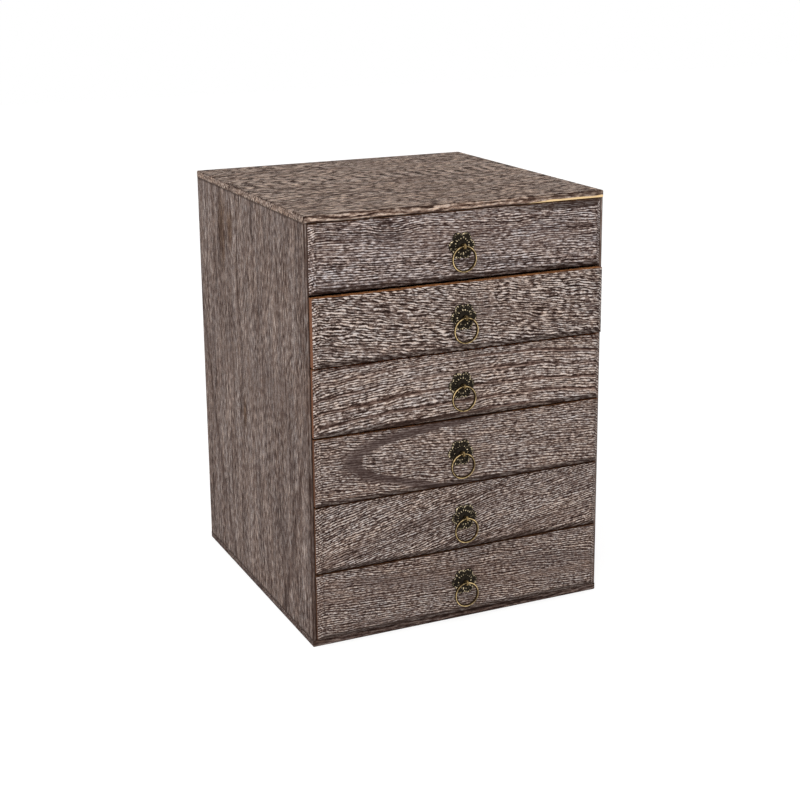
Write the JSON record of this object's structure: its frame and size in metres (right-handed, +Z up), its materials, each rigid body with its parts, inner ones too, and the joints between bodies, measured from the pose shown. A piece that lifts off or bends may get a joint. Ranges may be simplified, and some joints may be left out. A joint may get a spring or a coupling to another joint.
{
  "type": "tea box with drawers",
  "caption": "Tabletop wooden tea chest: a square carcass with a stack of bevelled drawers on side runners, each drawn out by a loose ring on a blossom-shaped rosette.",
  "frame": {"origin": "centre of the resting face, on the table", "axes": "+Z up, drawers open towards -Y, +X to the right as seen from the front"},
  "size_m": [0.25, 0.2656, 0.334],
  "materials": {
    "scorched_wood": "scorched, wire-brushed and limewashed, open grain",
    "plain_wood": "planed, unfinished",
    "thin_board": "sanded, unfinished",
    "dark_bronze": "blackened, gilt worn through on the rims",
    "old_brass": "aged, satin",
    "brad_steel": "bright drawn wire"
  },
  "bodies": {
    "carcass": {"top_panel": "scorched_wood", "bottom_panel": "scorched_wood", "left_side": "scorched_wood", "right_side": "scorched_wood", "back_panel": "thin_board", "corner_brads": "brad_steel", "runners_1": "plain_wood", "runners_2": "plain_wood", "runners_3": "plain_wood", "runners_4": "plain_wood", "runners_5": "plain_wood", "runners_6": "plain_wood"},
    "drawer_1": {"drawer_front_1": "scorched_wood", "drawer_left_side_1": "plain_wood", "drawer_right_side_1": "plain_wood", "drawer_back_1": "plain_wood", "drawer_bottom_1": "thin_board", "pull_rosette_1": "dark_bronze", "pull_pin_1": "old_brass"},
    "ring_1": {"pull_ring_1": "old_brass"},
    "drawer_2": {"drawer_front_2": "scorched_wood", "drawer_left_side_2": "plain_wood", "drawer_right_side_2": "plain_wood", "drawer_back_2": "plain_wood", "drawer_bottom_2": "thin_board", "pull_rosette_2": "dark_bronze", "pull_pin_2": "old_brass"},
    "ring_2": {"pull_ring_2": "old_brass"},
    "drawer_3": {"drawer_front_3": "scorched_wood", "drawer_left_side_3": "plain_wood", "drawer_right_side_3": "plain_wood", "drawer_back_3": "plain_wood", "drawer_bottom_3": "thin_board", "pull_rosette_3": "dark_bronze", "pull_pin_3": "old_brass"},
    "ring_3": {"pull_ring_3": "old_brass"},
    "drawer_4": {"drawer_front_4": "scorched_wood", "drawer_left_side_4": "plain_wood", "drawer_right_side_4": "plain_wood", "drawer_back_4": "plain_wood", "drawer_bottom_4": "thin_board", "pull_rosette_4": "dark_bronze", "pull_pin_4": "old_brass"},
    "ring_4": {"pull_ring_4": "old_brass"},
    "drawer_5": {"drawer_front_5": "scorched_wood", "drawer_left_side_5": "plain_wood", "drawer_right_side_5": "plain_wood", "drawer_back_5": "plain_wood", "drawer_bottom_5": "thin_board", "pull_rosette_5": "dark_bronze", "pull_pin_5": "old_brass"},
    "ring_5": {"pull_ring_5": "old_brass"},
    "drawer_6": {"drawer_front_6": "scorched_wood", "drawer_left_side_6": "plain_wood", "drawer_right_side_6": "plain_wood", "drawer_back_6": "plain_wood", "drawer_bottom_6": "thin_board", "pull_rosette_6": "dark_bronze", "pull_pin_6": "old_brass"},
    "ring_6": {"pull_ring_6": "old_brass"}
  },
  "joints": [
    {"name": "drawer_1_slide", "type": "slide", "parent": "carcass", "child": "drawer_1", "axis": [0, -1, 0], "range_m": [-0.0005, 0.1845]},
    {"name": "ring_1_swing", "type": "hinge", "parent": "drawer_1", "child": "ring_1", "pos_m": [-0.0004, -0.1335, 0.30208], "axis": [-1, 0, 0], "range_deg": [-5, 175]},
    {"name": "drawer_2_slide", "type": "slide", "parent": "carcass", "child": "drawer_2", "axis": [0, -1, 0], "range_m": [-0.0055, 0.1795]},
    {"name": "ring_2_swing", "type": "hinge", "parent": "drawer_2", "child": "ring_2", "pos_m": [-0.0013, -0.1385, 0.24825], "axis": [-1, 0, 0], "range_deg": [-5, 175]},
    {"name": "drawer_3_slide", "type": "slide", "parent": "carcass", "child": "drawer_3", "axis": [0, -1, 0], "range_m": [-0.0034, 0.1816]},
    {"name": "ring_3_swing", "type": "hinge", "parent": "drawer_3", "child": "ring_3", "pos_m": [-0.002, -0.1364, 0.19442], "axis": [-1, 0, 0], "range_deg": [-5, 175]},
    {"name": "drawer_4_slide", "type": "slide", "parent": "carcass", "child": "drawer_4", "axis": [0, -1, 0], "range_m": [-0.0034, 0.1816]},
    {"name": "ring_4_swing", "type": "hinge", "parent": "drawer_4", "child": "ring_4", "pos_m": [-0.0028, -0.1364, 0.14058], "axis": [-1, 0, 0], "range_deg": [-5, 175]},
    {"name": "drawer_5_slide", "type": "slide", "parent": "carcass", "child": "drawer_5", "axis": [0, -1, 0], "range_m": [-0.0022, 0.1828]},
    {"name": "ring_5_swing", "type": "hinge", "parent": "drawer_5", "child": "ring_5", "pos_m": [0.0009, -0.1352, 0.08675], "axis": [-1, 0, 0], "range_deg": [-5, 175]},
    {"name": "drawer_6_slide", "type": "slide", "parent": "carcass", "child": "drawer_6", "axis": [0, -1, 0], "range_m": [-0.002, 0.183]},
    {"name": "ring_6_swing", "type": "hinge", "parent": "drawer_6", "child": "ring_6", "pos_m": [0.0012, -0.135, 0.03292], "axis": [-1, 0, 0], "range_deg": [-5, 175]}
  ]
}
